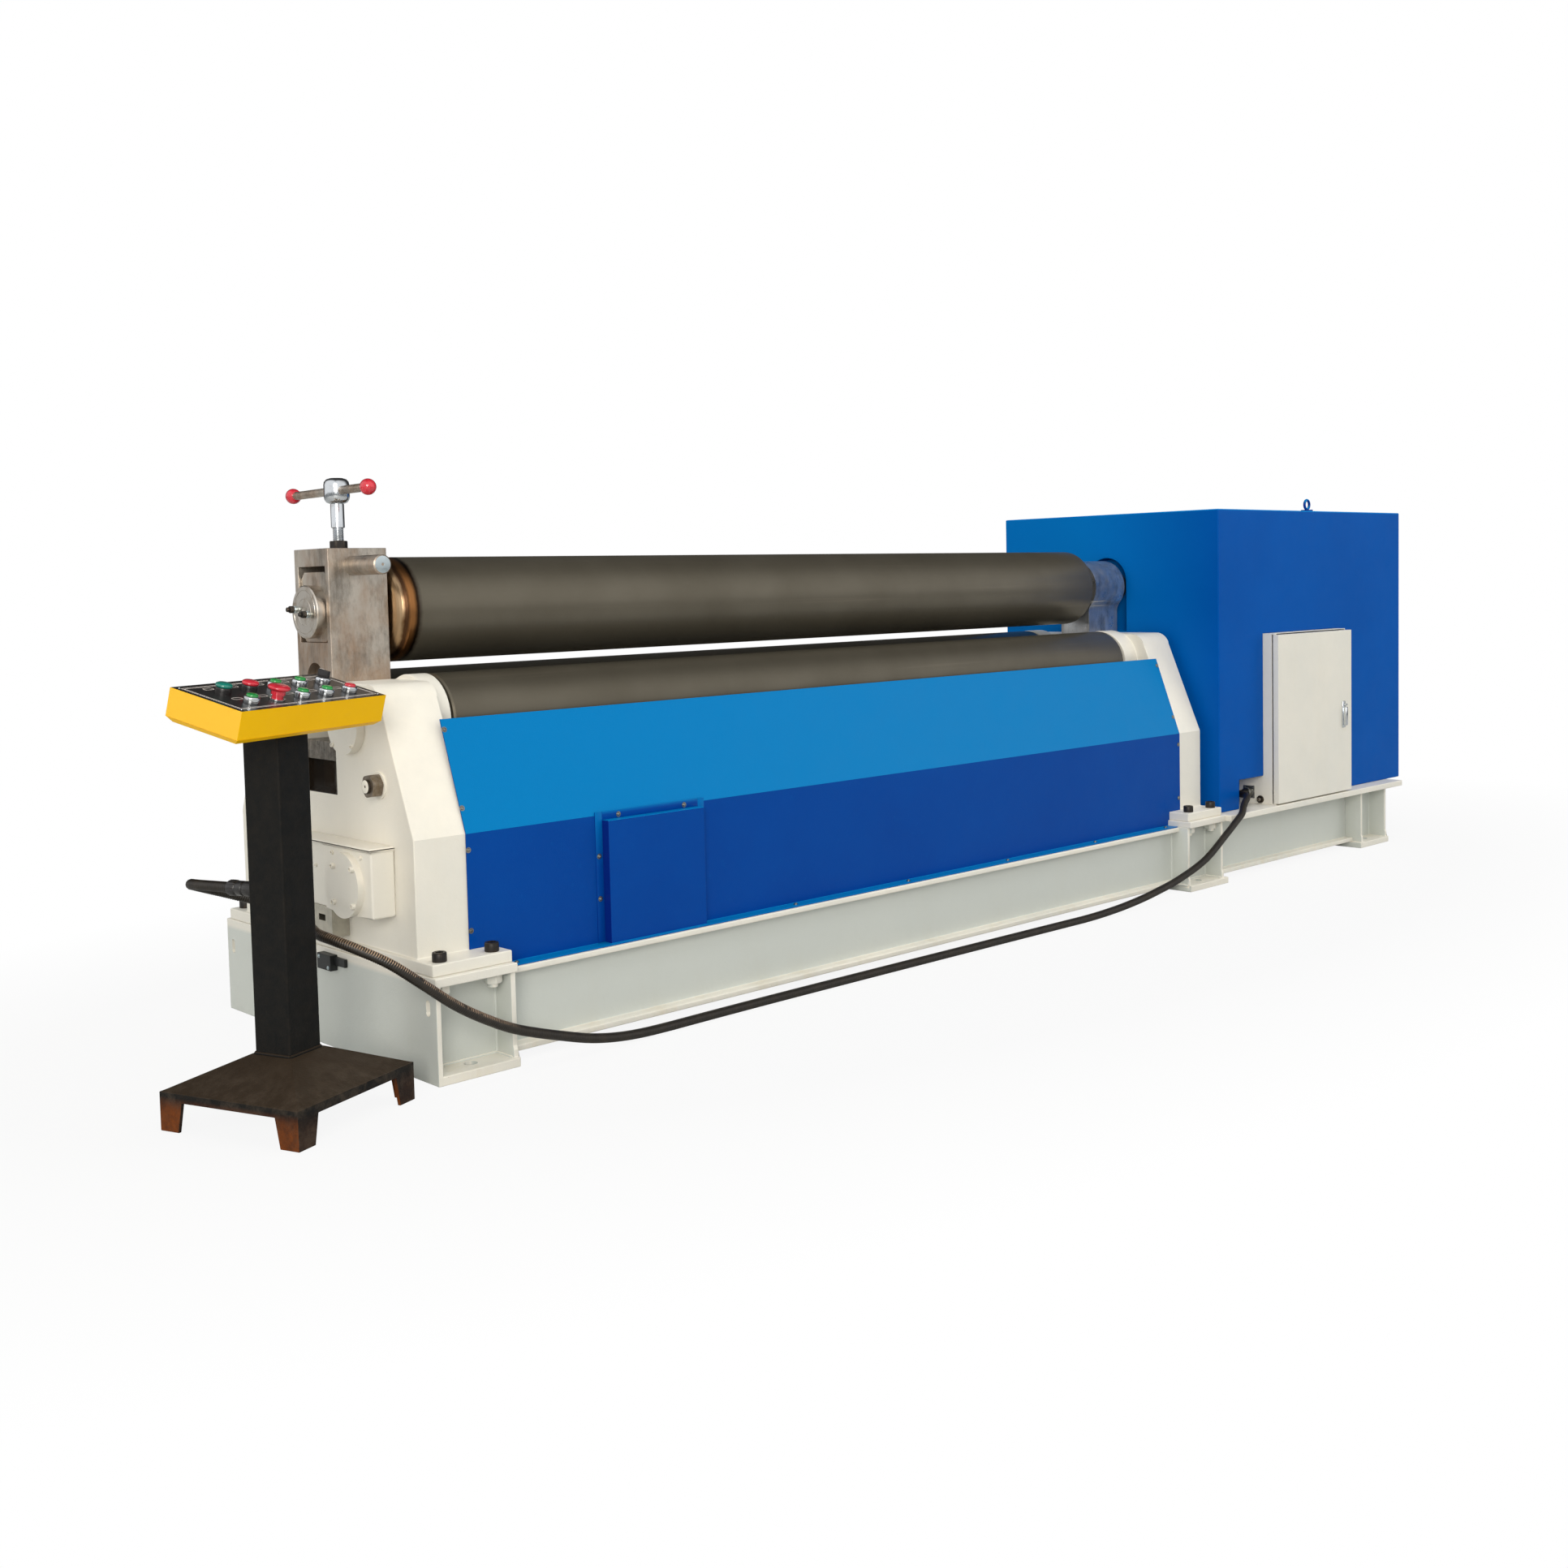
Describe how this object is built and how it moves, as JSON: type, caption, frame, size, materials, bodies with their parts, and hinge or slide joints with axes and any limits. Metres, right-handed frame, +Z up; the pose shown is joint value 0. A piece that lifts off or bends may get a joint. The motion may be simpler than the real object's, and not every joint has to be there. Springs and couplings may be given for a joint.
{
  "type": "plate rolling machine",
  "caption": "Three-roll plate bender on a welded base with a geared drive housing, a tipping bearing end and a free-standing push-button pedestal on a cable.",
  "frame": {"origin": "on the floor, below the outer face of the left stand, in the middle plane between the two lower rolls", "axes": "+X along the rolls from the tipping end to the drive housing, +Z up, the operator stands at -Y"},
  "size_m": [4.758, 1.125, 1.2705],
  "materials": {
    "cream_paint": "satin enamel, cream white",
    "blue_paint": "semi-gloss enamel, blue",
    "chrome": "polished",
    "roll_steel": "ground steel with a dark oil film",
    "bare_steel": "milled steel with brown tarnish",
    "black_oxide": "black oxide",
    "pedestal_paint": "black-brown paint, worn to rust at the feet",
    "yellow_paint": "satin enamel, yellow",
    "panel_black": "matt",
    "teal_lens": "glossy",
    "red_plastic": "glossy",
    "green_plastic": "glossy",
    "cable_sheath": "matt sheath over a spiral conduit"
  },
  "bodies": {
    "frame": {"foot_left": "cream_paint", "foot_right": "cream_paint", "end_foot": "cream_paint", "platform": "cream_paint", "beam_front": "cream_paint", "beam_rear": "cream_paint", "stand_left": "cream_paint", "stand_right": "cream_paint", "tie_rods": "black_oxide", "tie_nuts": "black_oxide", "roll_caps": "cream_paint", "lift_gear_left": "cream_paint", "drain_cup": "bare_steel", "limit_switch": "panel_black", "cover_front": "blue_paint", "cover_rear": "blue_paint", "gear_housing": "blue_paint", "lifting_eye": "blue_paint", "cabinet": "cream_paint", "pedestal_base": "pedestal_paint", "pedestal_post": "pedestal_paint", "control_box": "yellow_paint", "control_panel": "panel_black", "button_rings": "chrome", "lamp_teal": "teal_lens", "lamp_red": "red_plastic", "post_gland": "panel_black", "cabinet_gland": "panel_black", "cable": "cable_sheath"},
    "lift": {"lift_slide": "bare_steel", "bearing_head_right": "bare_steel"},
    "upper_roll": {"upper_roll": "roll_steel"},
    "lower_roll_front": {"lower_roll_front": "roll_steel"},
    "lower_roll_rear": {"lower_roll_rear": "roll_steel"},
    "drop_end": {"drop_end_block": "bare_steel", "bearing_slide": "bare_steel", "bearing_cap": "bare_steel", "pull_bar": "bare_steel", "lock_nut": "black_oxide"},
    "clamp_screw": {"clamp_screw": "chrome"},
    "cross_bar": {"cross_bar": "bare_steel", "ball_knobs": "red_plastic"},
    "cabinet_door": {"cabinet_door": "cream_paint", "door_handle": "chrome"},
    "button_1": {"button_1": "green_plastic"},
    "button_2": {"button_2": "green_plastic"},
    "button_3": {"button_3": "green_plastic"},
    "button_4": {"button_4": "green_plastic"},
    "button_5": {"button_5": "green_plastic"},
    "button_red": {"button_red": "red_plastic"},
    "stop_button": {"stop_button": "red_plastic"},
    "selector": {"selector": "panel_black"}
  },
  "joints": [
    {"name": "upper_roll_lift", "type": "slide", "parent": "frame", "child": "lift", "axis": [0, 0, 1], "range_m": [-0.07, 0.03]},
    {"name": "upper_roll_spin", "type": "hinge", "parent": "lift", "child": "upper_roll", "pos_m": [0, 0, 0.973], "axis": [1, 0, 0], "continuous": true},
    {"name": "lower_front_spin", "type": "hinge", "parent": "frame", "child": "lower_roll_front", "pos_m": [0, -0.146, 0.728], "axis": [1, 0, 0], "continuous": true},
    {"name": "lower_rear_spin", "type": "hinge", "parent": "frame", "child": "lower_roll_rear", "pos_m": [0, 0.146, 0.728], "axis": [1, 0, 0], "continuous": true},
    {"name": "drop_end_tilt", "type": "hinge", "parent": "lift", "child": "drop_end", "pos_m": [0.11, 0, 0.79], "axis": [0, -1, 0], "range_deg": [0, 65]},
    {"name": "clamp_screw_turn", "type": "hinge", "parent": "drop_end", "child": "clamp_screw", "pos_m": [0.07, 0, 1.2], "axis": [0, 0, 1], "continuous": true},
    {"name": "cross_bar_slide", "type": "slide", "parent": "clamp_screw", "child": "cross_bar", "axis": [-0.0593, -0.9982, 0], "range_m": [-0.105, 0.18]},
    {"name": "cabinet_door_swing", "type": "hinge", "parent": "frame", "child": "cabinet_door", "pos_m": [3.265, -0.477, 0.5], "axis": [0, 0, -1], "range_deg": [0, 100]},
    {"name": "button_1_press", "type": "slide", "parent": "frame", "child": "button_1", "axis": [-0.1032, 0.2374, -0.9659], "range_m": [0, 0.004], "stiffness_N_per_m": 600, "springref_m": -0.004},
    {"name": "button_2_press", "type": "slide", "parent": "frame", "child": "button_2", "axis": [-0.1032, 0.2374, -0.9659], "range_m": [0, 0.004], "stiffness_N_per_m": 600, "springref_m": -0.004},
    {"name": "button_3_press", "type": "slide", "parent": "frame", "child": "button_3", "axis": [-0.1032, 0.2374, -0.9659], "range_m": [0, 0.004], "stiffness_N_per_m": 600, "springref_m": -0.004},
    {"name": "button_4_press", "type": "slide", "parent": "frame", "child": "button_4", "axis": [-0.1032, 0.2374, -0.9659], "range_m": [0, 0.004], "stiffness_N_per_m": 600, "springref_m": -0.004},
    {"name": "button_5_press", "type": "slide", "parent": "frame", "child": "button_5", "axis": [-0.1032, 0.2374, -0.9659], "range_m": [0, 0.004], "stiffness_N_per_m": 600, "springref_m": -0.004},
    {"name": "button_red_press", "type": "slide", "parent": "frame", "child": "button_red", "axis": [-0.1032, 0.2374, -0.9659], "range_m": [0, 0.004], "stiffness_N_per_m": 600, "springref_m": -0.004},
    {"name": "stop_button_press", "type": "slide", "parent": "frame", "child": "stop_button", "axis": [-0.1032, 0.2374, -0.9659], "range_m": [0, 0.006], "stiffness_N_per_m": 800, "springref_m": -0.004},
    {"name": "selector_turn", "type": "hinge", "parent": "frame", "child": "selector", "pos_m": [-0.16483, -0.34079, 0.83299], "axis": [0.1032, -0.2374, 0.9659], "range_deg": [-45, 45]}
  ],
  "couplings": [
    {"joint": "lower_rear_spin", "follows": "lower_front_spin", "ratio": 1}
  ]
}
